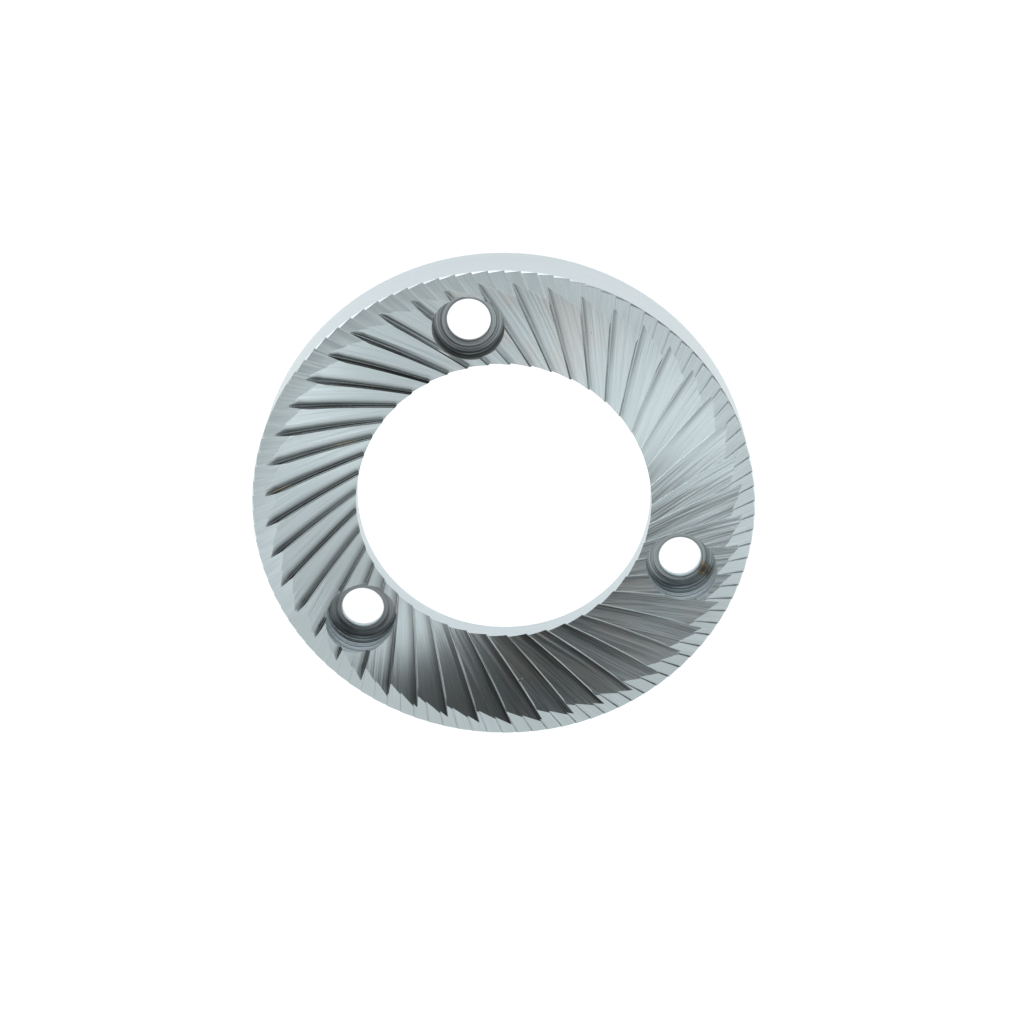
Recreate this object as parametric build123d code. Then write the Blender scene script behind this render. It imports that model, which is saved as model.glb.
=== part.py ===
from build123d import *
import math
import os

# Flat grinding burr of a coffee grinder: one hardened steel ring that lies on its back with the ground teeth up.
# The origin is on the ring's axis in the plane of its back rim. Sizes are in millimetres and degrees.

# Ring
outer_diameter = 64.0
bore_diameter = 38.0
burr_height = 8.2
back_edge_chamfer = 0.35

# Recess in the back, inside a rim of the full height; it ends midway between the screw holes and the outside
recess_depth = 2.45

# Breaking teeth: straight grooves left by the rim of a bevelled grinding wheel, each with a long ramp,
# a narrow foot and a steep wall. The wall's foot passes the ring's axis at the offset and runs out in the rim.
tooth_count = 45
tooth_offset = 12.45
tooth_phase = -0.15
tooth_rim_width = 1.4
tooth_run_out_slope = 0.39
tooth_ramp_angle = 21.0
tooth_wall_lean = 12.0
tooth_foot_width = 0.1
wheel_radius = 52.0

# Finishing teeth on the flat rim: shallow steps of the opposite sense that deepen towards the outside
rim_tooth_count = 100
rim_tooth_offset = 12.4
rim_tooth_phase = 0.7
rim_tooth_length = 4.25
rim_step_inner = 0.04
rim_step_outer = 0.2
rim_crest_width = 0.08

# Screw holes with pockets for cylindrical heads, evenly spaced close to the bore
screw_count = 3
screw_phase = 100.0
screw_hole_diameter = 5.5
screw_head_diameter = 9.0
screw_head_depth = 5.05
screw_seat_chamfer = 0.15
screw_bore_wall = 1.0

# Height by which every cut starts above the face and ends below the back
cut_clearance = 1.0

outer_radius = outer_diameter / 2
bore_radius = bore_diameter / 2
screw_circle_radius = bore_radius + screw_bore_wall + screw_head_diameter / 2
recess_radius = (screw_circle_radius + screw_hole_diameter / 2 + outer_radius) / 2


def ring_blank() -> Part:
    """Turned ring with its bore, the recess in the back and the broken back edge."""
    with BuildPart() as blank:
        with BuildSketch(Plane.XZ):
            with BuildLine():
                Polyline(
                    (bore_radius, recess_depth),
                    (recess_radius, recess_depth),
                    (recess_radius, 0),
                    (outer_radius - back_edge_chamfer, 0),
                    (outer_radius, back_edge_chamfer),
                    (outer_radius, burr_height),
                    (bore_radius, burr_height),
                    close=True,
                )
            make_face()
        revolve(axis=Axis.Z)
    return blank.part


def tooth_groove() -> Part:
    """Swept rim of the grinding wheel over the groove whose foot line runs along +X."""
    run_out_angle = math.atan(tooth_run_out_slope)
    tip_radius = outer_radius - tooth_rim_width
    tip_along = math.sqrt(tip_radius**2 - tooth_offset**2)
    centre_along = tip_along - wheel_radius * math.sin(run_out_angle)
    centre_height = burr_height + wheel_radius * math.cos(run_out_angle)
    rim_height = burr_height + wheel_radius - centre_height + cut_clearance
    ramp_width = rim_height / math.tan(math.radians(tooth_ramp_angle))
    wall_width = rim_height * math.tan(math.radians(tooth_wall_lean))
    centre = Vector(centre_along, -tooth_offset, centre_height)
    with BuildPart() as wheel:
        with BuildSketch(Plane(centre, x_dir=(0, 1, 0), z_dir=(1, 0, 0))):
            with BuildLine():
                Polyline(
                    (0, -wheel_radius),
                    (wall_width, rim_height - wheel_radius),
                    (-tooth_foot_width - ramp_width, rim_height - wheel_radius),
                    (-tooth_foot_width, -wheel_radius),
                    close=True,
                )
            make_face()
        revolve(axis=Axis(centre, (0, -1, 0)), revolution_arc=2 * math.degrees(run_out_angle))
    return wheel.part


def rim_step() -> Part:
    """Wedge over one finishing tooth: a step down along +X, then a gentle rise to the next crest."""
    start_radius = outer_radius - rim_tooth_length
    deepening = (rim_step_outer - rim_step_inner) / rim_tooth_length
    turn = Rot(0, 0, 360 / rim_tooth_count)
    rise = Vector(0, 0, cut_clearance)
    sections = []
    for reach in (0, rim_tooth_length + cut_clearance):
        along = math.sqrt((start_radius + reach) ** 2 - rim_tooth_offset**2)
        step = Vector(0, 0, rim_step_inner + deepening * reach)
        start = Vector(along, -rim_tooth_offset, burr_height)
        span = (turn * Pos(start)).position - start
        crest = start + span * (1 - rim_crest_width / span.length)
        sections.append(make_face(Polyline(start - step, crest, crest + rise, start + rise, close=True)))
    return loft(sections, ruled=True)


def screw_hole() -> Part:
    """Through hole with a flat-bottomed head pocket, standing on the ring's axis."""
    seat_height = burr_height - screw_head_depth
    with BuildPart() as hole:
        with Locations((0, 0, -cut_clearance)):
            Cylinder(
                screw_hole_diameter / 2,
                burr_height + 2 * cut_clearance,
                align=(Align.CENTER, Align.CENTER, Align.MIN),
            )
        with BuildPart(Plane.XY.offset(seat_height), mode=Mode.PRIVATE) as pocket:
            Cylinder(
                screw_head_diameter / 2,
                screw_head_depth + cut_clearance,
                align=(Align.CENTER, Align.CENTER, Align.MIN),
            )
            chamfer(pocket.edges().sort_by(Axis.Z)[0], screw_seat_chamfer)
        add(pocket.part)
    return hole.part


burr = ring_blank()

groove = tooth_groove()
for index in range(tooth_count):
    burr -= Rot(0, 0, tooth_phase + index * 360 / tooth_count) * groove

step = rim_step()
burr -= [Rot(0, 0, rim_tooth_phase + index * 360 / rim_tooth_count) * step for index in range(rim_tooth_count)]

hole = Pos(screw_circle_radius, 0, 0) * screw_hole()
burr -= [Rot(0, 0, screw_phase + index * 360 / screw_count) * hole for index in range(screw_count)]

os.makedirs("parts", exist_ok=True)
export_step(burr, "parts/burr.step")
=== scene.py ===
import logging
import math
from dataclasses import dataclass, field, replace
from enum import Enum
from typing import Any, Optional, Sequence, Union

import bmesh
import bpy
from mathutils import Matrix, Vector


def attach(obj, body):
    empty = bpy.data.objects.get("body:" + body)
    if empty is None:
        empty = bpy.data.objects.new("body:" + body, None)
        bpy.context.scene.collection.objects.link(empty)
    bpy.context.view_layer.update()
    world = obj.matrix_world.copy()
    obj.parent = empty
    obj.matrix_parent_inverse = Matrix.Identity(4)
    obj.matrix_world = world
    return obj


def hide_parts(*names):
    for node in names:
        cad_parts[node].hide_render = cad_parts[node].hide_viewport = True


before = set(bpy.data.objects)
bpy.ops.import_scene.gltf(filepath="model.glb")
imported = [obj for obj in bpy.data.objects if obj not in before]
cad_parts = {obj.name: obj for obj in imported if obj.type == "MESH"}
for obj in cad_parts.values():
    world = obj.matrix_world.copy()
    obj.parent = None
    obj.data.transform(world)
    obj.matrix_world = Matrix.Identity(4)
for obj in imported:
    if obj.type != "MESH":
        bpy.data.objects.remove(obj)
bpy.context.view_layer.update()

log = logging.getLogger("burr")

MM = 0.001
Colour = tuple[float, float, float]
Range = tuple[float, float]
Value = Union["Sock", float, int, bool, str, tuple, list, bpy.types.ID]


class Zone(Enum):
    """Surface of the burr, named for the tool that left it."""

    GROOVE_RAMP = 1
    GROOVE_FOOT = 2
    GROOVE_WALL = 3
    NICK = 4
    CREST = 5
    EDGE = 6
    FACE = 7
    RIM_RAMP = 8
    RIM_STEP = 9
    OUTSIDE = 10
    BORE = 11
    BACK = 12
    POCKET_SIDE = 13
    THROAT = 14
    POCKET_SEAT = 15


Profile = Sequence[tuple[float, float, Zone]]


class Sock:
    """Output socket of a node, on which arithmetic adds Math nodes."""

    def __init__(self, sheet: "NodeSheet", socket: bpy.types.NodeSocket) -> None:
        """Keeps the socket and the sheet that it is on."""
        self.sheet = sheet
        self.socket = socket

    def math(self, operation: str, *values: Value) -> "Sock":
        """Adds one Math node.

        Args:
            operation: Operation of the node.
            values: Operands, in order.

        Returns:
            Result of the node.
        """
        return self.sheet.out("ShaderNodeMath", {"operation": operation}, dict(enumerate(values)))

    def __add__(self, other: Value) -> "Sock":
        """Sum."""
        return self.math("ADD", self, other)

    def __radd__(self, other: Value) -> "Sock":
        """Sum with the number first."""
        return self.math("ADD", other, self)

    def __sub__(self, other: Value) -> "Sock":
        """Difference."""
        return self.math("SUBTRACT", self, other)

    def __rsub__(self, other: Value) -> "Sock":
        """Difference with the number first."""
        return self.math("SUBTRACT", other, self)

    def __mul__(self, other: Value) -> "Sock":
        """Product."""
        return self.math("MULTIPLY", self, other)

    def __truediv__(self, other: Value) -> "Sock":
        """Quotient."""
        return self.math("DIVIDE", self, other)

    def __rtruediv__(self, other: Value) -> "Sock":
        """Quotient with the number first."""
        return self.math("DIVIDE", other, self)

    def __pow__(self, other: Value) -> "Sock":
        """Power."""
        return self.math("POWER", self, other)

    def __gt__(self, other: Value) -> "Sock":
        """One where the value is above the other, else zero."""
        return self.math("GREATER_THAN", self, other)

    def rise(self, low: float, high: float) -> "Sock":
        """Smooth step of the value.

        Args:
            low: Value at which the step is zero.
            high: Value at which the step is one.

        Returns:
            Step between zero and one.
        """
        settings = {"interpolation_type": "SMOOTHSTEP"}
        inputs = {"Value": self, "From Min": low, "From Max": high}
        return self.sheet.out("ShaderNodeMapRange", settings, inputs)


class NodeSheet:
    """Node tree under construction."""

    MIX_FACTOR, MIX_FIRST, MIX_SECOND, MIX_RESULT = 0, 6, 7, 2

    def __init__(self, tree: bpy.types.NodeTree) -> None:
        """Keeps the tree and clears it."""
        self.tree = tree
        self.tree.nodes.clear()

    def add(
        self,
        kind: str,
        settings: Optional[dict[str, Any]] = None,
        inputs: Optional[dict[Union[int, str], Value]] = None,
    ) -> bpy.types.Node:
        """Adds one node.

        Args:
            kind: Type of the node.
            settings: Properties of the node, set before its sockets.
            inputs: Values or links of its sockets; a list of links fills one that takes several.

        Returns:
            The node.
        """
        node = self.tree.nodes.new(kind)
        for name, value in (settings or {}).items():
            setattr(node, name, value)
        for key, value in (inputs or {}).items():
            for one in value if isinstance(value, list) else [value]:
                if isinstance(one, Sock):
                    self.tree.links.new(one.socket, node.inputs[key])
                else:
                    node.inputs[key].default_value = one
        return node

    def out(
        self,
        kind: str,
        settings: Optional[dict[str, Any]] = None,
        inputs: Optional[dict[Union[int, str], Value]] = None,
        output: Union[int, str] = 0,
    ) -> Sock:
        """Adds one node and gives one of its results.

        Args:
            kind: Type of the node.
            settings: Properties of the node.
            inputs: Values or links of its sockets.
            output: Name or number of the result.

        Returns:
            The result.
        """
        return Sock(self, self.add(kind, settings, inputs).outputs[output])

    def vector(self, x: Value, y: Value, z: Value) -> Sock:
        """Vector made of three values."""
        return self.out("ShaderNodeCombineXYZ", {}, {"X": x, "Y": y, "Z": z})

    def parts(self, vector: Sock) -> tuple[Sock, Sock, Sock]:
        """Splits a vector.

        Args:
            vector: Vector to split.

        Returns:
            Its three values.
        """
        x, y, z = self.add("ShaderNodeSeparateXYZ", {}, {"Vector": vector}).outputs
        return Sock(self, x), Sock(self, y), Sock(self, z)

    def noise(self, vector: Sock, detail: float, scale: float = 1.0) -> Sock:
        """Noise between zero and one.

        Args:
            vector: Place at which the noise is read.
            detail: Number of finer layers.
            scale: Repeats to one unit of the vector.

        Returns:
            The noise.
        """
        inputs = {"Vector": vector, "Scale": scale, "Detail": detail}
        return self.out("ShaderNodeTexNoise", {}, inputs, "Fac")

    def mix(self, factor: Value, first: Value, second: Value) -> Sock:
        """Colour between two colours.

        Args:
            factor: Share of the second colour.
            first: Colour at zero.
            second: Colour at one.

        Returns:
            The mixed colour.
        """
        colours = [one if isinstance(one, Sock) else (*one, 1.0) for one in (first, second)]
        inputs = {self.MIX_FACTOR: factor, self.MIX_FIRST: colours[0], self.MIX_SECOND: colours[1]}
        return self.out("ShaderNodeMix", {"data_type": "RGBA"}, inputs, self.MIX_RESULT)


@dataclass(frozen=True)
class Spot:
    """Small mark on the steel, seen from above, solid in its core and faint at its edge; some are
    painted glints.

    Sizes are in millimetres, the turn is in degrees and the colour is linear.
    """

    x: float
    y: float
    radius: float
    colour: Colour
    share: float = 1.0
    metallic: float = 1.0
    stretch: float = 1.0
    turn: float = 0.0
    core: float = 0.4

    def cover(self, sheet: NodeSheet, place: Sock) -> Sock:
        """Measures how far the mark covers the steel.

        Args:
            sheet: Sheet of the material.
            place: Place on the burr, in metres.

        Returns:
            Share of the mark, which fades at its edge.
        """
        x, y, _ = sheet.parts(place)
        x, y = x / MM - self.x, y / MM - self.y
        cos, sin = math.cos(math.radians(self.turn)), math.sin(math.radians(self.turn))
        away = (((x * cos + y * sin) / self.stretch) ** 2 + (y * cos - x * sin) ** 2) ** 0.5
        return (1 - away.rise(self.core * self.radius, self.radius)) * self.share


@dataclass(frozen=True)
class Sector:
    """Soft sector of the burr, seen from its axis, in degrees.

    The share is full up to one half angle from the middle and ends at the other.
    """

    middle: float
    full: float
    end: float

    def share(self, sheet: NodeSheet, place: Sock) -> Sock:
        """Measures how far a place lies in the sector.

        Args:
            sheet: Sheet of the material.
            place: Place on the burr, in metres.

        Returns:
            Share of the sector, one in its middle and nought outside it.
        """
        angle, full, end = (math.radians(value) for value in (self.middle, self.full, self.end))
        x, y, _ = sheet.parts(place)
        near = (x * math.cos(angle) + y * math.sin(angle)) / (x * x + y * y) ** 0.5
        return near.rise(math.cos(end), math.cos(full))


@dataclass(frozen=True)
class ShadeAndGrime:
    """Dark colour on the ramps: a wide band and a narrow one at the groove's foot, both painted
    shade, and soiled lines that are partly dried coffee and partly painted shade.

    Sizes are in millimetres, the colour is linear.
    """

    colour: Colour
    shade_band_share: float
    shade_band_reach: float
    shade_band_sector: Sector
    foot_shade_share: float
    foot_shade_reach: float
    foot_shade_sector: Sector
    soil_and_shade_share: float
    soil_and_shade_sector: Sector
    solid_reach: float = 0.1
    shade_band_base: float = 0.6
    shade_band_lines: float = 0.8
    foot_shade_inner: float = 0.45
    foot_shade_radii: Range = (21.5, 27.0)
    corner_shade_rise: Range = (-0.02, 0.08)
    soil_and_shade_lines: float = 0.7
    soil_and_shade_rise: Range = (0.4, 0.56)

    def cover(self, sheet: NodeSheet, place: Sock, up: Sock, lines: Sock, bands: Sock) -> Sock:
        """Measures how far the painted shade and the grime cover the steel.

        Args:
            sheet: Sheet of the material.
            place: Place on the burr, in metres.
            up: Distance up the ramp from the groove's foot.
            lines: Fine lines of the grind.
            bands: Broad bands of the grind.

        Returns:
            Share of the painted shade and grime.
        """
        # Painted shade: a wide band up the ramp from the groove's foot.
        shade_band = (1 - up.rise(self.solid_reach, self.shade_band_reach)) * self.shade_band_share
        shade_band = shade_band * self.shade_band_sector.share(sheet, place)
        shade_band = shade_band * (self.shade_band_base + lines * self.shade_band_lines)
        # Painted shade: a narrow band at the groove's foot, stronger towards the outside.
        foot = (1 - up.rise(self.solid_reach, self.foot_shade_reach)) * self.foot_shade_share
        foot = foot * self.foot_shade_sector.share(sheet, place)
        x, y, _ = sheet.parts(place)
        outer = ((x * x + y * y) ** 0.5 / MM).rise(*self.foot_shade_radii)
        foot = foot * (self.foot_shade_inner + outer * (1 - self.foot_shade_inner))
        corner_shade = (shade_band + foot) * up.rise(*self.corner_shade_rise)
        # Soiled lines, partly grime and partly painted shade.
        spared_lines = (lines * self.soil_and_shade_lines + bands * (1 - self.soil_and_shade_lines)).rise(*self.soil_and_shade_rise)
        soil_and_shade = (1 - spared_lines) * self.soil_and_shade_share * self.soil_and_shade_sector.share(sheet, place)
        return soil_and_shade.math("MINIMUM", soil_and_shade + corner_shade, 1.0)


@dataclass(frozen=True)
class SteelFinish:
    """Bare hardened steel with its tool's lines, and a colour laid over soft patches in some
    sectors: painted shade on most finishes, a tint on the rest.

    Sizes are in millimetres, colours are linear.
    """

    name: str
    colour: Colour
    shade: Colour
    tint_and_painted_shade: Colour
    tint_and_shade_share: float
    tint_and_shade_sectors: tuple[Sector, ...]
    tint_and_shade_patches: float
    roughness: float
    roughness_spread: float
    line_width: float
    line_length: float
    band_width: float
    line_slope: float
    edge_radius: float
    turned: bool = False
    spread: float = 0.0
    spread_turn: float = 0.0
    spots: tuple[Spot, ...] = ()
    shade_and_grime: Optional[ShadeAndGrime] = None
    line_detail: float = 3.0
    band_detail: float = 1.0
    band_stretch: float = 2.0
    streak_lines: float = 0.75
    streak_rise: Range = (0.3, 0.7)
    tint_and_shade_rise: Range = (0.25, 0.65)
    patch_scale: float = 160.0
    patch_detail: float = 2.0
    patch_rise: Range = (0.4, 0.6)
    cut_stride: float = 7.31
    edge_samples: int = 6

    def material(self) -> bpy.types.Material:
        """Builds the finish.

        Returns:
            The material.
        """
        material = bpy.data.materials.new(self.name)
        material.use_nodes = True
        sheet = NodeSheet(material.node_tree)
        place = sheet.out("ShaderNodeTexCoord", {}, {}, "Object")
        along, across, _ = sheet.parts(sheet.out("ShaderNodeUVMap", {"uv_map": "grain"}))
        number: Value = 0.0 if self.turned else self.cut_number(sheet, place)
        line_place = sheet.vector(along / self.line_length, across / self.line_width, number)
        lines = sheet.noise(line_place, self.line_detail)
        band_length = self.band_stretch * self.line_length
        band_place = sheet.vector(along / band_length, across / self.band_width, number)
        bands = sheet.noise(band_place, self.band_detail)
        streaks = lines * self.streak_lines + bands * (1 - self.streak_lines)
        streaks = streaks.rise(*self.streak_rise)
        steel = sheet.mix(streaks, self.shade, self.colour)
        # The sector colour: painted shade on most finishes, a tint on the rest.
        tint_and_painted_shade = self.tint_and_shade_cover(sheet, place) * ((bands + lines) / 2).rise(*self.tint_and_shade_rise)
        steel = sheet.mix(tint_and_painted_shade * self.tint_and_shade_share, steel, self.tint_and_painted_shade)
        # Painted shade at the groove feet, and soiled lines that are partly painted shade.
        if self.shade_and_grime:
            cover = self.shade_and_grime.cover(sheet, place, 0 - across, lines, bands)
            steel = sheet.mix(cover, steel, self.shade_and_grime.colour)
        metallic: Value = 1.0
        for spot in self.spots:
            cover = spot.cover(sheet, place)
            steel = sheet.mix(cover, steel, spot.colour)
            metallic = metallic - cover * (1 - spot.metallic)
        height = (lines * self.line_width + bands * self.band_width) * self.line_slope
        rounding = {"Radius": self.edge_radius * MM}
        edge = sheet.out("ShaderNodeBevel", {"samples": self.edge_samples}, rounding)
        relief = {"Height": height, "Distance": MM, "Strength": 1.0, "Normal": edge}
        normal = sheet.out("ShaderNodeBump", {}, relief)
        shader = sheet.out(
            "ShaderNodeBsdfPrincipled",
            {},
            {
                "Base Color": steel,
                "Metallic": metallic,
                "Roughness": self.roughness + (1 - streaks) * self.roughness_spread,
                "Anisotropic": self.spread,
                "Anisotropic Rotation": self.spread_turn,
                "Normal": normal,
            },
        )
        sheet.add("ShaderNodeOutputMaterial", {}, {"Surface": shader})
        return material

    def cut_number(self, sheet: NodeSheet, place: Sock) -> Sock:
        """Number that tells one cut from the next, so that no two carry the same lines.

        Args:
            sheet: Sheet of the material.
            place: Place on the burr, in metres.

        Returns:
            A value that is the same all over one cut.
        """
        x, y, _ = sheet.parts(place)
        radius = (x * x + y * y) ** 0.5
        lead = radius.math("ARCSINE", BurrRing.tooth_offset * MM / radius)
        turn = x.math("ARCTAN2", y, x) + lead - math.radians(BurrRing.tooth_phase)
        count = turn.math("CEIL", turn * (BurrRing.tooth_count / math.tau))
        return count.math("FLOORED_MODULO", count, BurrRing.tooth_count) * self.cut_stride

    def tint_and_shade_cover(self, sheet: NodeSheet, place: Sock) -> Sock:
        """Measures how far the sector colour, painted shade on most finishes, covers the steel, in
        the soft patches of its sectors.

        Args:
            sheet: Sheet of the material.
            place: Place on the burr, in metres.

        Returns:
            Share of the sector colour.
        """
        noise = sheet.noise(place, self.patch_detail, self.patch_scale)
        patches = 1 - (1 - noise.rise(*self.patch_rise)) * self.tint_and_shade_patches
        share: Value = 0.0
        for sector in self.tint_and_shade_sectors:
            share = share + sector.share(sheet, place) * patches
        return patches.math("MINIMUM", share, 1.0)


# The pale grey colour serves the dust specks and a painted white glint at one groove's tip; the
# pale gold one is a painted golden reflection along two groove feet.
DUST_AND_WHITE_GLINT: Colour = (0.72, 0.73, 0.73)
PAINTED_GOLD_GLINT: Colour = (0.95, 0.79, 0.54)
OIL: Colour = (0.40, 0.30, 0.17)
OIL_DARK: Colour = (0.11, 0.085, 0.06)

GROUND_GROOVE = SteelFinish(
    name="ground_groove",
    colour=(0.635, 0.706, 0.721),
    shade=(0.56, 0.623, 0.637),
    tint_and_painted_shade=(0.66, 0.60, 0.56),
    tint_and_shade_share=0.6,
    tint_and_shade_sectors=(Sector(84.0, 10.0, 34.0), Sector(290.0, 22.0, 52.0)),
    tint_and_shade_patches=1.0,
    roughness=0.28,
    roughness_spread=0.05,
    line_width=0.1,
    line_length=7.0,
    band_width=0.5,
    line_slope=0.16,
    edge_radius=0.06,
    spread=0.85,
    spread_turn=0.086,
    # Painted shade: a wide dark band at the groove feet round the left and bottom and a narrow one
    # at the top; the soiled lines at the lower right are partly grime and partly painted shade.
    shade_and_grime=ShadeAndGrime(
        colour=(0.155, 0.155, 0.157),
        shade_band_share=0.6,
        shade_band_reach=1.25,
        shade_band_sector=Sector(228.0, 58.0, 122.0),
        foot_shade_share=0.62,
        foot_shade_reach=0.85,
        foot_shade_sector=Sector(78.0, 44.0, 68.0),
        soil_and_shade_share=0.6,
        soil_and_shade_sector=Sector(318.0, 44.0, 64.0),
    ),
    spots=(
        Spot(-2.07, -24.36, 0.11, DUST_AND_WHITE_GLINT, metallic=0.0),
        Spot(-1.0, -24.36, 0.09, DUST_AND_WHITE_GLINT, metallic=0.0),
        Spot(-4.4, -23.2, 0.08, DUST_AND_WHITE_GLINT, metallic=0.0),
        Spot(3.3, -25.6, 0.07, DUST_AND_WHITE_GLINT, metallic=0.0),
        # Painted golden reflections along the feet of two left grooves, and a painted white glint
        # at the tip of one.
        Spot(-20.3, 8.45, 0.12, PAINTED_GOLD_GLINT, metallic=0.0, stretch=20.0, turn=11.9),
        Spot(-28.9, 2.8, 0.13, PAINTED_GOLD_GLINT, metallic=0.0, stretch=18.0, turn=19.9),
        Spot(-29.85, 2.45, 0.14, DUST_AND_WHITE_GLINT, metallic=0.0, stretch=8.0, turn=19.9),
        Spot(10.95, 23.62, 0.08, OIL_DARK, metallic=0.5),
    ),
)
# Groove walls: the pale colour and the near-black sector colour round 208 degrees are painted light
# and shade, light at the top right and dark at the left and bottom, the dark partly residue.
GROUND_WALL = SteelFinish(
    name="ground_wall",
    colour=(0.84, 0.90, 0.91),
    shade=(0.80, 0.86, 0.87),
    tint_and_painted_shade=(0.07, 0.065, 0.06),
    tint_and_shade_share=1.4,
    tint_and_shade_sectors=(Sector(208.0, 80.0, 122.0),),
    tint_and_shade_patches=0.2,
    roughness=0.2,
    roughness_spread=0.05,
    line_width=0.16,
    line_length=7.0,
    band_width=0.7,
    line_slope=0.04,
    edge_radius=0.06,
)
# Crest lands: the dark sector colour round 84 and 246 degrees is painted shade, dimming the crest
# lines at the top and lower left.
HONED_CREST = SteelFinish(
    name="honed_crest",
    colour=(0.74, 0.80, 0.81),
    shade=(0.66, 0.72, 0.73),
    tint_and_painted_shade=(0.16, 0.165, 0.165),
    tint_and_shade_share=1.3,
    tint_and_shade_sectors=(Sector(84.0, 36.0, 62.0), Sector(246.0, 6.0, 46.0)),
    tint_and_shade_patches=0.3,
    roughness=0.24,
    roughness_spread=0.04,
    line_width=0.16,
    line_length=7.0,
    band_width=0.7,
    line_slope=0.03,
    edge_radius=0.04,
)
HONED_EDGE = replace(HONED_CREST, name="honed_edge", tint_and_shade_share=0.0, edge_radius=0.03)
# Rim: the darker sector colour round 272 degrees is painted shade on the lower rim.
GROUND_RIM = SteelFinish(
    name="ground_rim",
    colour=(0.66, 0.73, 0.745),
    shade=(0.565, 0.624, 0.638),
    tint_and_painted_shade=(0.49, 0.54, 0.55),
    tint_and_shade_share=2.0,
    tint_and_shade_sectors=(Sector(272.0, 50.0, 80.0),),
    tint_and_shade_patches=0.3,
    roughness=0.27,
    roughness_spread=0.05,
    line_width=0.14,
    line_length=4.0,
    band_width=0.9,
    line_slope=0.03,
    edge_radius=0.09,
)
TURNED_SIDE = SteelFinish(
    name="turned_side",
    colour=(0.60, 0.665, 0.685),
    shade=(0.575, 0.635, 0.655),
    tint_and_painted_shade=(0.60, 0.64, 0.64),
    tint_and_shade_share=0.3,
    tint_and_shade_sectors=(Sector(60.0, 20.0, 60.0),),
    tint_and_shade_patches=1.0,
    roughness=0.33,
    roughness_spread=0.05,
    line_width=0.12,
    line_length=9.0,
    band_width=1.2,
    line_slope=0.02,
    edge_radius=0.1,
    turned=True,
)
# Pocket sides and throats: the dark sector colour round 100 degrees is painted shade in the top
# hole's pocket.
TURNED_HOLE = SteelFinish(
    name="turned_hole",
    colour=(0.575, 0.66, 0.695),
    shade=(0.47, 0.54, 0.57),
    tint_and_painted_shade=(0.20, 0.19, 0.175),
    tint_and_shade_share=1.3,
    tint_and_shade_sectors=(Sector(100.0, 12.0, 40.0),),
    tint_and_shade_patches=0.3,
    roughness=0.36,
    roughness_spread=0.06,
    line_width=0.3,
    line_length=40.0,
    band_width=0.8,
    line_slope=0.45,
    edge_radius=0.07,
    turned=True,
)
# Pocket seats: the dark steel colour is painted shade of the deep pockets, and the darker sector
# round 220 degrees is painted shade on the left hole's seat; the spots are oil stains.
TURNED_SEAT = SteelFinish(
    name="turned_seat",
    colour=(0.40, 0.435, 0.445),
    shade=(0.22, 0.235, 0.24),
    tint_and_painted_shade=(0.15, 0.152, 0.15),
    tint_and_shade_share=0.9,
    tint_and_shade_sectors=(Sector(220.0, 12.0, 30.0),),
    tint_and_shade_patches=0.3,
    roughness=0.26,
    roughness_spread=0.08,
    line_width=0.22,
    line_length=40.0,
    band_width=0.6,
    line_slope=0.2,
    edge_radius=0.07,
    turned=True,
    spots=(
        Spot(26.3, -10.15, 1.3, OIL_DARK, share=0.75, stretch=1.2, turn=-28.0),
        Spot(26.2, -9.4, 0.32, OIL, share=0.8, stretch=2.6, turn=-42.0),
        Spot(25.8, -10.65, 0.3, OIL, share=0.8, stretch=3.0, turn=-20.0),
        Spot(26.95, -10.3, 0.2, OIL, share=0.6, stretch=2.4, turn=-60.0),
    ),
)


@dataclass
class Shell:
    """Closed surface of a blank or a cutter, in millimetres.

    Every face knows the zone that it leaves on the burr.
    The grain map runs along the tool's path.
    """

    name: str
    mesh: bmesh.types.BMesh = field(default_factory=bmesh.new)

    def __post_init__(self) -> None:
        """Adds the layers of the zones and of the grain."""
        self.zone = self.mesh.faces.layers.int.new("zone")
        self.grain = self.mesh.loops.layers.uv.new("grain")

    def add_grid(
        self,
        rows: Sequence[Sequence[Vector]],
        zones: Sequence[Zone],
        ring_along: bool,
        ring_across: bool,
        zero: int = 0,
    ) -> None:
        """Covers a grid of points with faces and closes its open ends.

        Args:
            rows: Points of each section along the grain, each from first to last across it.
            zones: Zone of each strip between two neighbouring points of a section.
            ring_along: Whether the last section joins the first.
            ring_across: Whether the last point of a section joins its first.
            zero: Point of a section where the grain map starts to count across.
        """
        count, width = len(rows), len(rows[0])
        corners = [[self.mesh.verts.new(point) for point in row] for row in rows]
        along = self.running_length([row[0] for row in rows])
        across = self.running_length(rows[0])
        for i in range(count if ring_along else count - 1):
            for j in range(width if ring_across else width - 1):
                places = ((i, j), (i + 1, j), (i + 1, j + 1), (i, j + 1))
                face = self.mesh.faces.new([corners[a % count][b % width] for a, b in places])
                face[self.zone] = zones[j].value
                for loop, (a, b) in zip(face.loops, places):
                    loop[self.grain].uv = (along[a], across[b] - across[zero])
        if not ring_along:
            self.mesh.faces.new(corners[0])
            self.mesh.faces.new(corners[-1])
        if not ring_across:
            self.mesh.faces.new([row[0] for row in corners])
            self.mesh.faces.new([row[-1] for row in corners])

    @staticmethod
    def running_length(points: Sequence[Vector]) -> list[float]:
        """Measures a closed chain of points.

        Args:
            points: Points in order.

        Returns:
            Length up to each point and, last, back at the first.
        """
        lengths = [0.0]
        for first, second in zip(points, [*points[1:], points[0]]):
            lengths.append(lengths[-1] + (second - first).length)
        return lengths

    def to_object(self) -> bpy.types.Object:
        """Turns the faces outwards and makes an object in metres.

        Returns:
            The object, linked to the scene.
        """
        bmesh.ops.recalc_face_normals(self.mesh, faces=self.mesh.faces)
        bmesh.ops.scale(self.mesh, vec=(MM, MM, MM), verts=self.mesh.verts)
        data = bpy.data.meshes.new(self.name)
        self.mesh.to_mesh(data)
        self.mesh.free()
        piece = bpy.data.objects.new(self.name, data)
        bpy.context.scene.collection.objects.link(piece)
        return piece


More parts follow.
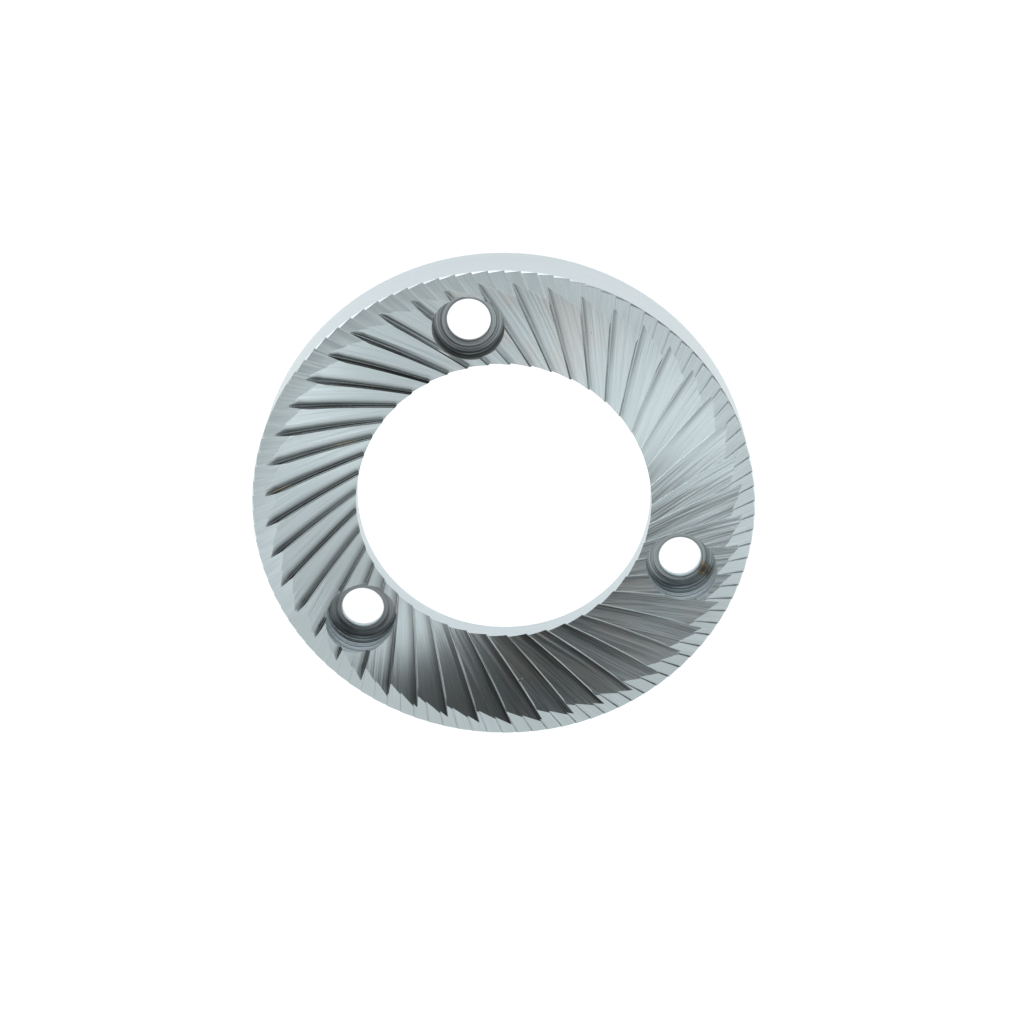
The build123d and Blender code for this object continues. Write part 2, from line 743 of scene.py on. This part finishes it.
@dataclass
class BurrRing:
    """Flat burr: a turned ring with ground grooves, a stepped rim and three screw holes.

    Sizes are in millimetres and degrees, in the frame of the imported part.
    """

    # Ring
    outer_diameter: float = 64.0
    bore_diameter: float = 38.0
    height: float = 8.2
    back_edge_chamfer: float = 0.35
    face_edge_chamfer: float = 0.2
    recess_depth: float = 2.45
    recess_diameter: float = 59.25
    ring_segments: int = 720

    # Grooves, and the wheel that grinds them
    tooth_count: int = 45
    tooth_offset: float = 12.45
    tooth_phase: float = -0.15
    tooth_rim_width: float = 1.4
    tooth_run_out_slope: float = 0.39
    tooth_ramp_angle: float = 21.0
    tooth_wall_lean: float = 12.0
    tooth_foot_width: float = 0.1
    tooth_foot_radius: float = 0.07
    wheel_radius: float = 52.0
    wheel_steps: int = 64
    foot_steps: int = 6

    # Crests between the grooves
    crest_width: float = 0.14
    crest_lean: float = 30.0
    crest_steps: int = 28
    crest_span: Range = (12.6, 26.2)
    crest_sides: Range = (-0.3, 0.5)
    crest_fade: float = 0.3
    crest_delay: float = 0.1
    crest_search: float = 2.0
    crest_halvings: int = 40

    # Nick in one crest
    nick_tooth: int = -7
    nick_radius: float = 25.05
    nick_width: float = 0.46
    nick_depth: float = 0.3
    nick_lift: float = 0.12
    nick_sides: Range = (-0.3, 1.1)

    # Steps of the rim
    rim_tooth_count: int = 100
    rim_tooth_offset: float = 12.4
    rim_tooth_phase: float = 0.7
    rim_tooth_length: float = 4.25
    rim_step_inner: float = 0.04
    rim_step_outer: float = 0.2
    rim_crest_width: float = 0.08
    rim_sections: int = 7

    # Screw holes and their head pockets
    screw_count: int = 3
    screw_phase: float = 100.0
    screw_circle_diameter: float = 49.0
    screw_hole_diameter: float = 5.5
    screw_head_diameter: float = 9.0
    screw_head_depth: float = 5.05
    screw_seat_chamfer: float = 0.15
    screw_lip_chamfer: float = 0.12
    screw_segments: int = 120

    # Cutting and shading
    cut_clearance: float = 1.0
    crease_angle: float = 22.0
    zone_margin: float = 0.1
    cuts: tuple[str, ...] = ("Groove", "Crest", "Nick", "Rim", "Hole")

    def blank(self) -> bpy.types.Object:
        """Turns the ring before any tooth is cut.

        Returns:
            The blank, with the recess in its back.
        """
        outside, bore = self.outer_diameter / 2, self.bore_diameter / 2
        recess = self.recess_diameter / 2
        profile = (
            (bore, self.recess_depth, Zone.BACK),
            (recess, self.recess_depth, Zone.BACK),
            (recess, 0.0, Zone.BACK),
            (outside - self.back_edge_chamfer, 0.0, Zone.BACK),
            (outside, self.back_edge_chamfer, Zone.OUTSIDE),
            (outside, self.height - self.face_edge_chamfer, Zone.EDGE),
            (outside - self.face_edge_chamfer, self.height, Zone.FACE),
            (bore, self.height, Zone.BORE),
        )
        shell = Shell("burr_blank")
        rows = self.turned(profile, self.ring_segments)
        shell.add_grid(rows, [zone for _, _, zone in profile], True, True)
        return shell.to_object()

    @staticmethod
    def turned(profile: Profile, segments: int, centre: float = 0.0) -> list[list[Vector]]:
        """Turns a profile about an upright axis.

        Args:
            profile: Radius, height and zone of each corner.
            segments: Number of sections of the full turn.
            centre: Distance of the axis from the ring's axis, along +X.

        Returns:
            Points of every section.
        """
        rows = []
        for index in range(segments):
            angle = math.tau * index / segments
            out = Vector((math.cos(angle), math.sin(angle), 0.0))
            row = [out * radius + Vector((centre, 0.0, level)) for radius, level, _ in profile]
            rows.append(row)
        return rows

    def wheel_rim(self) -> Profile:
        """Draws the edge of the grinding wheel that cuts a groove.

        Returns:
            Sideways place, radius and zone of each corner, from the ramp's top to the wall's.
        """
        ramp, lean = math.radians(self.tooth_ramp_angle), math.radians(self.tooth_wall_lean)
        run_out = math.atan(self.tooth_run_out_slope)
        reach = self.wheel_radius * (1 - math.cos(run_out)) + self.cut_clearance
        inner = self.wheel_radius - reach
        foot = self.tooth_foot_radius
        wall_normal = Vector((-math.cos(lean), -math.sin(lean)))
        ramp_normal = Vector((math.sin(ramp), -math.cos(ramp)))
        wall_point = Vector((0.0, self.wheel_radius)) + wall_normal * foot
        ramp_point = Vector((-self.tooth_foot_width, self.wheel_radius)) + ramp_normal * foot
        wall_way = Vector((math.sin(lean), -math.cos(lean)))
        ramp_way = Vector((-math.cos(ramp), -math.sin(ramp)))
        gap = ramp_point - wall_point
        opening = wall_way.x * ramp_way.y - wall_way.y * ramp_way.x
        along_wall = (gap.x * ramp_way.y - gap.y * ramp_way.x) / opening
        middle = wall_point + wall_way * along_wall
        first = math.atan2(-ramp_normal.y, -ramp_normal.x)
        last = math.atan2(-wall_normal.y, -wall_normal.x)
        corners = [(-self.tooth_foot_width - reach / math.tan(ramp), inner, Zone.GROOVE_RAMP)]
        for index in range(self.foot_steps + 1):
            angle = first + (last - first) * index / self.foot_steps
            zone = Zone.GROOVE_FOOT if index < self.foot_steps else Zone.GROOVE_WALL
            side, radius = middle.x + foot * math.cos(angle), middle.y + foot * math.sin(angle)
            corners.append((side, radius, zone))
        corners.append((reach * math.tan(lean), inner, Zone.FACE))
        return corners

    def wheel_centre(self) -> Vector:
        """Places the grinding wheel over the groove whose foot runs along +X.

        Returns:
            Middle of the wheel.
        """
        run_out = math.atan(self.tooth_run_out_slope)
        tip_radius = self.outer_diameter / 2 - self.tooth_rim_width
        tip_along = math.sqrt(tip_radius**2 - self.tooth_offset**2)
        rise = self.height + self.wheel_radius * math.cos(run_out)
        return Vector((tip_along - self.wheel_radius * math.sin(run_out), -self.tooth_offset, rise))

    def groove_cutter(self) -> bpy.types.Object:
        """Sweeps the wheel's edge over the groove whose foot runs along +X.

        Returns:
            The cutter.
        """
        run_out = math.atan(self.tooth_run_out_slope)
        centre = self.wheel_centre()
        corners = self.wheel_rim()
        rows = []
        for index in range(self.wheel_steps + 1):
            angle = 2 * run_out * index / self.wheel_steps
            down = Vector((math.sin(angle), 0.0, -math.cos(angle)))
            row = [centre + down * radius + Vector((0.0, side, 0.0)) for side, radius, _ in corners]
            rows.append(row)
        shell = Shell("groove_cutter")
        shell.add_grid(rows, [zone for _, _, zone in corners], False, True, zero=1)
        return shell.to_object()

    def crest_point(self, along: float) -> Vector:
        """Finds where the wall of a groove meets the ramp of the next.

        Args:
            along: Place along the groove whose foot runs along +X.

        Returns:
            Point of the crest.
        """
        centre = self.wheel_centre()
        back = Matrix.Rotation(-math.tau / self.tooth_count, 3, "Z")
        low, high = 0.0, self.crest_search
        for _ in range(self.crest_halvings):
            side = (low + high) / 2
            wall_radius = self.wheel_radius - side / math.tan(math.radians(self.tooth_wall_lean))
            point = Vector((along, side - self.tooth_offset, 0.0))
            point.z = centre.z - math.sqrt(wall_radius**2 - (along - centre.x) ** 2)
            other = back @ point
            inset = -other.y - self.tooth_offset - self.tooth_foot_width
            ramp_radius = self.wheel_radius - inset * math.tan(math.radians(self.tooth_ramp_angle))
            under = point.z < centre.z - math.sqrt(ramp_radius**2 - (other.x - centre.x) ** 2)
            low, high = (side, high) if under else (low, side)
        return point

    def crest_cutter(self) -> bpy.types.Object:
        """Makes the hone that breaks the crest between two grooves and leaves the rim alone.

        Returns:
            The cutter.
        """
        fall = math.tan(math.radians(self.tooth_ramp_angle))
        lean = math.tan(math.radians(self.crest_lean))
        first, last = self.crest_span
        near, far = self.crest_sides
        top = self.cut_clearance
        rows = []
        for index in range(self.crest_steps + 1):
            crest = self.crest_point(first + (last - first) * index / self.crest_steps)
            growth = (self.height - crest.z) / self.crest_fade - self.crest_delay
            width = self.crest_width * max(-1.0, min(1.0, growth))
            row = []
            for side, lift in ((near, 0.0), (far, 0.0), (far, top), (near, top)):
                level = lift - fall * width + (side - width) * lean
                row.append(crest + Vector((0.0, side, level)))
            rows.append(row)
        shell = Shell("crest_cutter")
        shell.add_grid(rows, [Zone.CREST, Zone.FACE, Zone.FACE, Zone.FACE], False, True)
        return shell.to_object()

    def nick_cutter(self) -> bpy.types.Object:
        """Makes the notch of a small nick across one crest.

        Returns:
            The cutter.
        """
        crest = self.crest_point(math.sqrt(self.nick_radius**2 - self.tooth_offset**2))
        half = self.nick_width / 2
        corners = ((-half, self.nick_lift), (0.0, -self.nick_depth), (half, self.nick_lift))
        rows = []
        for side in self.nick_sides:
            rows.append([crest + Vector((along, side, level)) for along, level in corners])
        shell = Shell("nick_cutter")
        shell.add_grid(rows, [Zone.NICK, Zone.NICK, Zone.FACE], False, True)
        return shell.to_object()

    def rim_cutter(self) -> bpy.types.Object:
        """Makes the wedge over one rim tooth.

        It steps down along +X, then rises gently to the next crest.

        Returns:
            The cutter.
        """
        start_radius = self.outer_diameter / 2 - self.rim_tooth_length
        deepening = (self.rim_step_outer - self.rim_step_inner) / self.rim_tooth_length
        turn = Matrix.Rotation(math.tau / self.rim_tooth_count, 3, "Z")
        lift = Vector((0.0, 0.0, self.cut_clearance))
        rows = []
        for index in range(self.rim_sections):
            reach = (self.rim_tooth_length + self.cut_clearance) * index / (self.rim_sections - 1)
            along = math.sqrt((start_radius + reach) ** 2 - self.rim_tooth_offset**2)
            start = Vector((along, -self.rim_tooth_offset, self.height))
            span = turn @ start - start
            crest = start + span * (1 - self.rim_crest_width / span.length)
            step = Vector((0.0, 0.0, self.rim_step_inner + deepening * reach))
            rows.append([start - step, crest, crest + lift, start + lift])
        shell = Shell("rim_cutter")
        shell.add_grid(rows, [Zone.RIM_RAMP, Zone.FACE, Zone.FACE, Zone.RIM_STEP], False, True)
        return shell.to_object()

    def hole_cutter(self) -> bpy.types.Object:
        """Makes the drill and the head pocket's mill as one shape.

        Returns:
            The cutter, at its distance from the ring's axis.
        """
        throat, head = self.screw_hole_diameter / 2, self.screw_head_diameter / 2
        seat = self.height - self.screw_head_depth
        lip = self.screw_lip_chamfer
        profile = (
            (throat, -self.cut_clearance, Zone.THROAT),
            (throat, seat - lip, Zone.THROAT),
            (throat + lip, seat, Zone.POCKET_SEAT),
            (head - self.screw_seat_chamfer, seat, Zone.POCKET_SEAT),
            (head, seat + self.screw_seat_chamfer, Zone.POCKET_SIDE),
            (head, self.height + self.cut_clearance, Zone.POCKET_SIDE),
        )
        shell = Shell("hole_cutter")
        rows = self.turned(profile, self.screw_segments, self.screw_circle_diameter / 2)
        shell.add_grid(rows, [zone for _, _, zone in profile], True, False)
        return shell.to_object()

    def cutting_tree(
        self,
        finishes: Sequence[tuple[Zone, Zone, SteelFinish]],
    ) -> bpy.types.NodeTree:
        """Builds the tree that sets the cutters round the ring, cuts the blank and dresses it.

        Args:
            finishes: First zone, last zone and finish of each group of zones.

        Returns:
            The tree, whose inputs are the cutters, their numbers and the angles of the first.
        """
        tree = bpy.data.node_groups.new("burr_cutting", "GeometryNodeTree")
        sheet = NodeSheet(tree)
        tree.interface.new_socket("Burr", in_out="OUTPUT", socket_type="NodeSocketGeometry")
        inputs = {"Blank": "Geometry"}
        kinds = {"cutter": "Object", "count": "Int", "phase": "Float"}
        for cut in self.cuts:
            inputs.update({f"{cut} {word}": kind for word, kind in kinds.items()})
        inputs["Crease angle"] = "Float"
        for name, kind in inputs.items():
            tree.interface.new_socket(name, in_out="INPUT", socket_type=f"NodeSocket{kind}")
        given = {socket.name: Sock(sheet, socket) for socket in sheet.add("NodeGroupInput").outputs}
        cuts = [self.set_round(sheet, given, cut) for cut in self.cuts]
        burr = sheet.out(
            "GeometryNodeMeshBoolean",
            {"operation": "DIFFERENCE", "solver": "MANIFOLD"},
            {"Mesh 1": given["Blank"], "Mesh 2": cuts},
        )
        burr = sheet.out("GeometryNodeRealizeInstances", {}, {"Geometry": burr})
        zone = sheet.out("GeometryNodeInputNamedAttribute", {"data_type": "INT"}, {"Name": "zone"})
        border = sheet.out("GeometryNodeMeshFaceSetBoundaries", {}, {0: zone})
        bend = sheet.out("GeometryNodeInputMeshEdgeAngle", {}, {}, "Unsigned Angle")
        sharp = bend > given["Crease angle"]
        crease = sheet.out("FunctionNodeBooleanMath", {"operation": "OR"}, {0: border, 1: sharp})
        smooth = {"Geometry": burr, "Shade Smooth": True}
        burr = sheet.out("GeometryNodeSetShadeSmooth", {"domain": "FACE"}, smooth)
        creased = {"Geometry": burr, "Selection": crease, "Shade Smooth": False}
        burr = sheet.out("GeometryNodeSetShadeSmooth", {"domain": "EDGE"}, creased)
        for first, last, finish in finishes:
            middle = (first.value + last.value) / 2
            reach = (last.value - first.value) / 2 + self.zone_margin
            chosen = sheet.out(
                "FunctionNodeCompare",
                {"data_type": "FLOAT", "operation": "EQUAL"},
                {"A": zone, "B": middle, "Epsilon": reach},
            )
            dress = {"Geometry": burr, "Selection": chosen, "Material": finish.material()}
            burr = sheet.out("GeometryNodeSetMaterial", {}, dress)
        sheet.add("NodeGroupOutput", {}, {"Burr": burr})
        return tree

    @staticmethod
    def set_round(sheet: NodeSheet, given: dict[str, Sock], cut: str) -> Sock:
        """Sets copies of one cutter evenly round the ring's axis.

        Args:
            sheet: Sheet of the cutting tree.
            given: Inputs of the tree by name.
            cut: First word of the cutter's inputs.

        Returns:
            The copies.
        """
        count = given[f"{cut} count"]
        index = sheet.out("GeometryNodeInputIndex")
        turn = index * math.tau / count + given[f"{cut} phase"]
        source = {"Object": given[f"{cut} cutter"], "As Instance": False}
        shape = sheet.out("GeometryNodeObjectInfo", {}, source, "Geometry")
        points = sheet.out("GeometryNodePoints", {}, {"Count": count})
        setting = {"Points": points, "Instance": shape, "Rotation": sheet.vector(0.0, 0.0, turn)}
        return sheet.out("GeometryNodeInstanceOnPoints", {}, setting)

    def build(self) -> bpy.types.Object:
        """Cuts the burr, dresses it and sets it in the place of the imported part.

        Returns:
            The finished piece.
        """
        finishes = (
            (Zone.GROOVE_RAMP, Zone.GROOVE_FOOT, GROUND_GROOVE),
            (Zone.GROOVE_WALL, Zone.NICK, GROUND_WALL),
            (Zone.CREST, Zone.CREST, HONED_CREST),
            (Zone.EDGE, Zone.EDGE, HONED_EDGE),
            (Zone.FACE, Zone.RIM_STEP, GROUND_RIM),
            (Zone.OUTSIDE, Zone.BACK, TURNED_SIDE),
            (Zone.POCKET_SIDE, Zone.THROAT, TURNED_HOLE),
            (Zone.POCKET_SEAT, Zone.POCKET_SEAT, TURNED_SEAT),
        )
        tree = self.cutting_tree(finishes)
        blank = self.blank()
        tooth_turn = 360 / self.tooth_count
        rounds = (
            (self.groove_cutter(), self.tooth_count, self.tooth_phase),
            (self.crest_cutter(), self.tooth_count, self.tooth_phase),
            (self.nick_cutter(), 1, self.tooth_phase + self.nick_tooth * tooth_turn),
            (self.rim_cutter(), self.rim_tooth_count, self.rim_tooth_phase),
            (self.hole_cutter(), self.screw_count, self.screw_phase),
        )
        values = {"Crease angle": math.radians(self.crease_angle)}
        for cut, (cutter, count, phase) in zip(self.cuts, rounds):
            values[f"{cut} cutter"] = cutter
            values[f"{cut} count"] = count
            values[f"{cut} phase"] = math.radians(phase)
        cutting = blank.modifiers.new("cutting", "NODES")
        cutting.node_group = tree
        for socket in tree.interface.items_tree:
            if socket.name in values:
                cutting[socket.identifier] = values[socket.name]
        graph = bpy.context.evaluated_depsgraph_get()
        data = bpy.data.meshes.new_from_object(blank.evaluated_get(graph))
        data.name = "burr_ring"
        blank.modifiers.remove(cutting)
        for helper in [blank, *(cutter for cutter, _, _ in rounds)]:
            bpy.data.objects.remove(helper)
        piece = bpy.data.objects.new("burr_ring", data)
        bpy.context.scene.collection.objects.link(piece)
        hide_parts("burr")
        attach(piece, "root")
        return piece


@dataclass
class LightTent:
    """Tent that lights the burr, white on the far side and dark above the camera.

    A range holds the two ends of a soft border, read on the direction's unit vector.
    """

    colour: Colour = (0.96, 1.0, 1.01)
    dark: float = 0.03
    far: float = 0.86
    far_soft: Range = (-0.14, 0.3)
    far_crisp: Range = (-0.03, 0.13)
    far_end: Range = (0.64, 0.78)
    far_end_dim: float = 0.65
    patch: float = 0.8
    patch_right: Range = (0.35, 0.55)
    beside: Range = (0.2, 0.4)
    beside_right: Range = (0.2, 0.65)
    beside_dim: float = 0.36
    low_top: Range = (0.25, 0.45)
    low_left: Range = (0.0, 0.4)
    low_left_dim: float = 0.86
    low_right: Range = (0.0, 0.3)
    low_right_gain: float = 1.2
    left: float = 0.27
    left_border: Range = (-0.1, 0.75)
    right: float = 0.1
    right_border: Range = (0.4, 0.8)
    near: float = 0.24
    near_border: Range = (0.28, 0.62)
    near_right: Range = (-0.05, 0.3)
    near_right_dim: float = 0.6
    front: float = 1.5
    front_border: Range = (0.8, 0.93)
    side: float = 1.15
    side_left: Range = (0.4, 0.7)
    side_near: Range = (0.2, 0.4)

    def strength(self, x: Sock, y: Sock, z: Sock) -> Sock:
        """Adds up the light of the tent's walls.

        Args:
            x: Part of the direction to the right.
            y: Part towards the near side.
            z: Part upwards.

        Returns:
            Strength of the light from that direction.
        """
        left, back = 0 - x, 0 - y
        low = 1 - z.rise(*self.low_top)
        soft, crisp = back.rise(*self.far_soft), back.rise(*self.far_crisp)
        patch_right = x.rise(*self.patch_right)
        far = soft + (crisp - soft) * patch_right
        beside = back.rise(*self.beside)
        dimmed = x.rise(*self.beside_right) * beside * self.beside_dim
        far = far * (1 - dimmed + patch_right * (1 - beside) * self.patch)
        far = far * (1 - x.rise(*self.far_end) * self.far_end_dim)
        far = far * (1 - low * left.rise(*self.low_left) * self.low_left_dim)
        gain = low * x.rise(*self.low_right) * self.low_right_gain
        strength = self.dark + far * (self.far + gain)
        strength = strength + left.rise(*self.left_border) * self.left
        strength = strength + x.rise(*self.right_border) * self.right
        near = y.rise(*self.near_border) * (1 - x.rise(*self.near_right) * self.near_right_dim)
        strength = strength + near * self.near + y.rise(*self.front_border) * self.front
        side = low * left.rise(*self.side_left) * y.rise(*self.side_near)
        return strength + side * self.side

    def build(self) -> bpy.types.World:
        """Lights the scene.

        Returns:
            The world.
        """
        world = bpy.data.worlds.new("light_tent")
        world.use_nodes = True
        sheet = NodeSheet(world.node_tree)
        x, y, z = sheet.parts(sheet.out("ShaderNodeTexCoord", {}, {}, "Generated"))
        light = {"Color": (*self.colour, 1.0), "Strength": self.strength(x, y, z)}
        glow = sheet.out("ShaderNodeBackground", {}, light)
        sheet.add("ShaderNodeOutputWorld", {}, {"Surface": glow})
        bpy.context.scene.world = world
        return world


@dataclass
class Studio:
    """Pale floor, the light tent and the camera. Sizes are in millimetres, angles in radians."""

    floor_size: float = 3000.0
    floor_colour: Colour = (0.45, 0.46, 0.47)
    floor_roughness: float = 0.9
    floor_glow: float = 0.86
    floor_glow_colour: Colour = (0.99, 0.995, 1.0)
    view_tilt: float = 0.4074
    view_swing: float = -0.0089
    view_offset: tuple[float, float] = (-1.0994, 0.1607)
    view_distance: float = 267.3568
    face_height: float = BurrRing.height
    lens: float = 73.83
    sensor_width: float = 36.0
    clip_start: float = 10.0
    tent: LightTent = field(default_factory=LightTent)

    def floor(self) -> bpy.types.Object:
        """Lays the floor that the burr rests on.

        Returns:
            The floor.
        """
        material = bpy.data.materials.new("floor_paper")
        material.use_nodes = True
        sheet = NodeSheet(material.node_tree)
        shader = sheet.out(
            "ShaderNodeBsdfPrincipled",
            {},
            {
                "Base Color": (*self.floor_colour, 1.0),
                "Roughness": self.floor_roughness,
                "Emission Color": (*self.floor_glow_colour, 1.0),
                "Emission Strength": self.floor_glow,
            },
        )
        sheet.add("ShaderNodeOutputMaterial", {}, {"Surface": shader})
        half = self.floor_size * MM / 2
        data = bpy.data.meshes.new("floor")
        corners = [(-half, -half, 0), (half, -half, 0), (half, half, 0), (-half, half, 0)]
        data.from_pydata(corners, [], [(0, 1, 2, 3)])
        data.materials.append(material)
        floor = bpy.data.objects.new("floor", data)
        bpy.context.scene.collection.objects.link(floor)
        return floor

    def camera(self) -> bpy.types.Object:
        """Sets the camera.

        Returns:
            The camera.
        """
        away = Vector(
            (
                math.sin(self.view_swing),
                math.sin(self.view_tilt) * math.cos(self.view_swing),
                -math.cos(self.view_tilt) * math.cos(self.view_swing),
            )
        )
        right = Vector((0.0, -1.0, 0.0)).cross(away).normalized()
        down = away.cross(right)
        burr_to_view = Matrix((right, down, away)).transposed()
        shift = Vector((*self.view_offset, self.view_distance))
        eye = Vector((0.0, 0.0, self.face_height)) - burr_to_view.transposed() @ shift
        axes = burr_to_view.transposed() @ Matrix(((1, 0, 0), (0, -1, 0), (0, 0, -1)))
        data = bpy.data.cameras.new("camera")
        data.lens = self.lens
        data.sensor_width = self.sensor_width
        data.clip_start = self.clip_start * MM
        camera = bpy.data.objects.new("camera", data)
        camera.matrix_world = Matrix.Translation(eye * MM) @ axes.to_4x4()
        bpy.context.scene.collection.objects.link(camera)
        bpy.context.scene.camera = camera
        return camera

    def build(self) -> None:
        """Sets up floor, light and camera."""
        self.floor()
        self.tent.build()
        self.camera()
        bpy.context.scene.view_settings.view_transform = "Standard"


def main() -> None:
    """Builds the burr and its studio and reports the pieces."""
    logging.basicConfig(level=logging.INFO, format="%(name)s: %(message)s")
    ring = BurrRing().build()
    log.info("%s: %d faces", ring.name, len(ring.data.polygons))
    Studio().build()
    log.info("studio: floor, light tent and camera")


if __name__ == "__main__":
    main()
